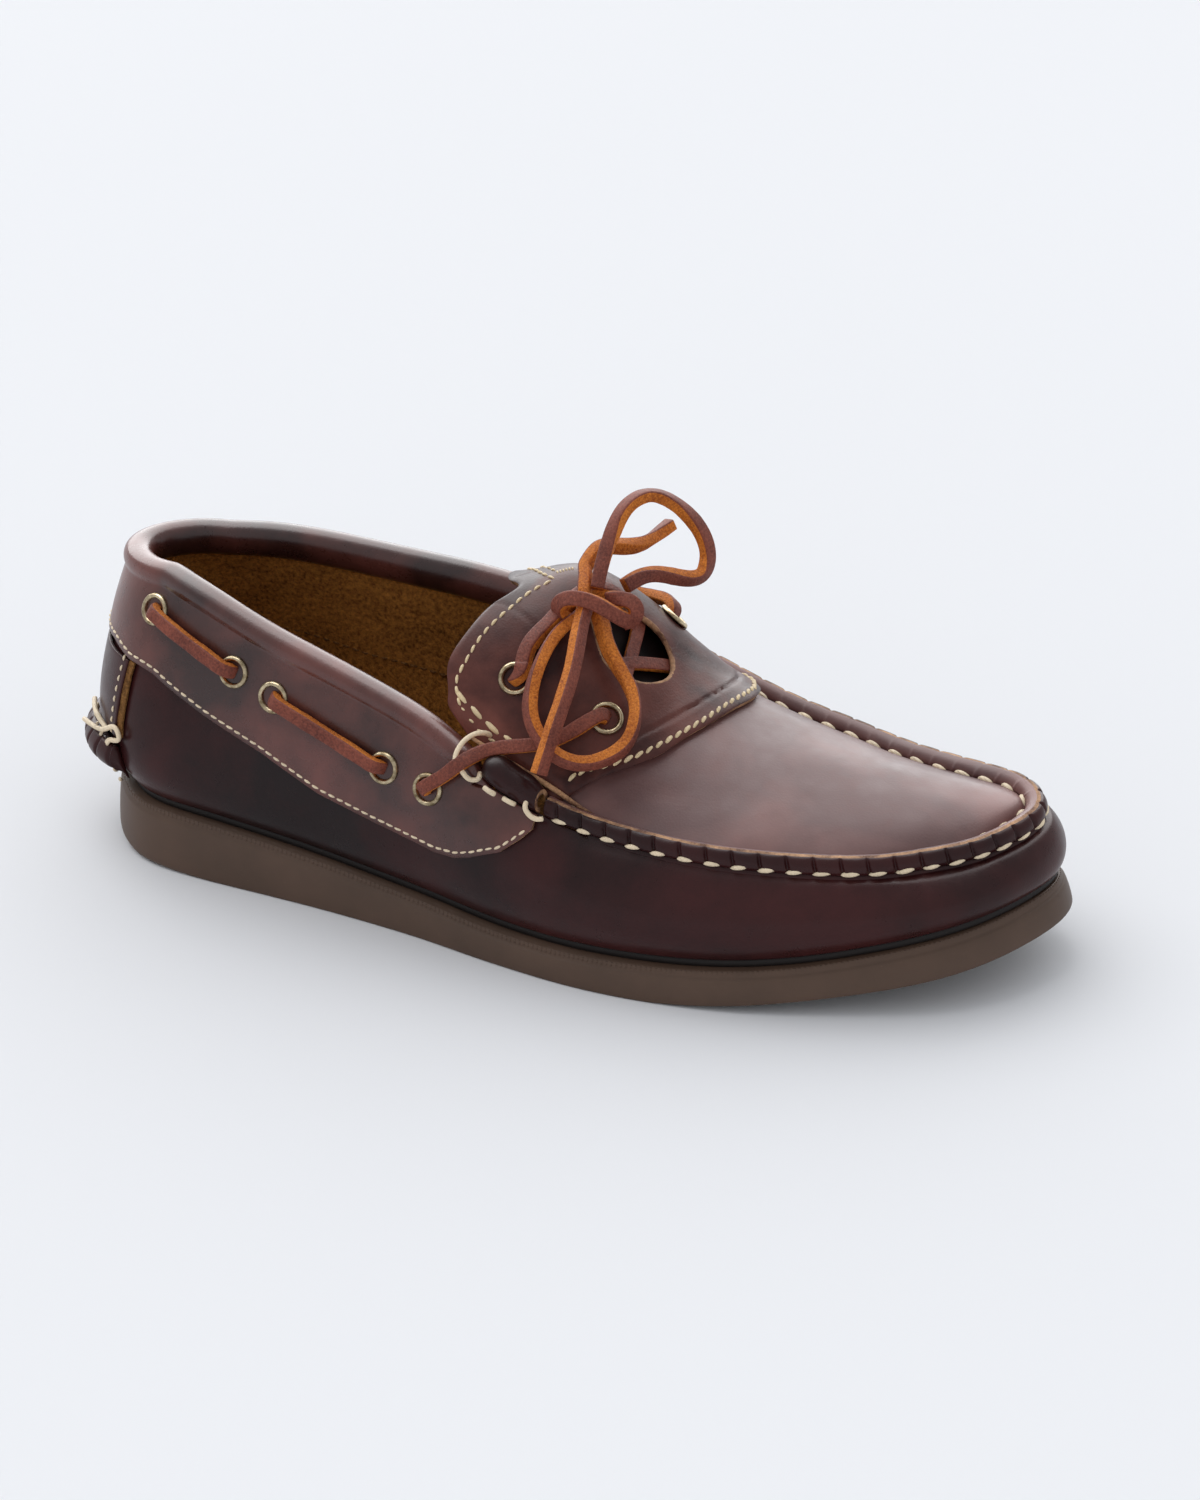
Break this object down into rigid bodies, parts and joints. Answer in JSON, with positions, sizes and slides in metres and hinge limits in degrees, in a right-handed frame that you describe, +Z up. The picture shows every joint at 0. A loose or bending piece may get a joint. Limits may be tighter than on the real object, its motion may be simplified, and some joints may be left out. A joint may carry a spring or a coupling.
{
  "type": "moc toe loafer",
  "caption": "Right-foot leather moc toe loafer with a raised hand-sewn toe seam, lace stay with a bow, padded laced collar and a wedge rubber sole.",
  "frame": {"origin": "on the floor under the flat of the sole, half way along the outsole, on the heel's centre line", "axes": "+X towards the toe, +Y towards the inner (medial) side of this right shoe, +Z up"},
  "size_m": [0.3036, 0.1075, 0.1262],
  "materials": {
    "outsole_rubber": "matt dark taupe moulded rubber",
    "midsole_rubber": "dark matt band",
    "burgundy_leather": "waxy pull-up leather, dark burgundy brown, satin",
    "red_brown_leather": "red-brown waxy leather of the padded collar, satin",
    "suede": "brown suede lining, matt",
    "lace_leather": "rawhide lace, brown grain side and orange flesh side",
    "brass": "antique brass, worn satin"
  },
  "bodies": {
    "root": {"outsole": "outsole_rubber", "midsole": "midsole_rubber", "insole": "suede", "upper": "burgundy_leather", "tongue": "burgundy_leather", "moc_ridge": "burgundy_leather", "lace_stay": "burgundy_leather", "collar_band": "red_brown_leather", "collar_roll": "red_brown_leather", "heel_panel": "burgundy_leather", "heel_ridge": "burgundy_leather", "tab_roll_lateral": "burgundy_leather", "tab_roll_medial": "burgundy_leather", "eyelet_lateral_1": "brass", "eyelet_lateral_2": "brass", "eyelet_lateral_3": "brass", "eyelet_lateral_4": "brass", "eyelet_lateral_5": "brass", "eyelet_stay_lateral_lower": "brass", "eyelet_stay_lateral_upper": "brass", "lace_run_lateral_rear": "lace_leather", "lace_run_lateral_middle": "lace_leather", "lace_run_lateral_front": "lace_leather", "eyelet_medial_1": "brass", "eyelet_medial_2": "brass", "eyelet_medial_3": "brass", "eyelet_medial_4": "brass", "eyelet_medial_5": "brass", "eyelet_stay_medial_lower": "brass", "eyelet_stay_medial_upper": "brass", "lace_run_medial_rear": "lace_leather", "lace_run_medial_middle": "lace_leather", "lace_run_medial_front": "lace_leather", "lace_bars": "lace_leather", "lace_knot": "lace_leather", "lace_loop_hanging": "lace_leather", "lace_loop_upper": "lace_leather", "lace_end_front": "lace_leather", "lace_end_back": "lace_leather"}
  },
  "joints": []
}
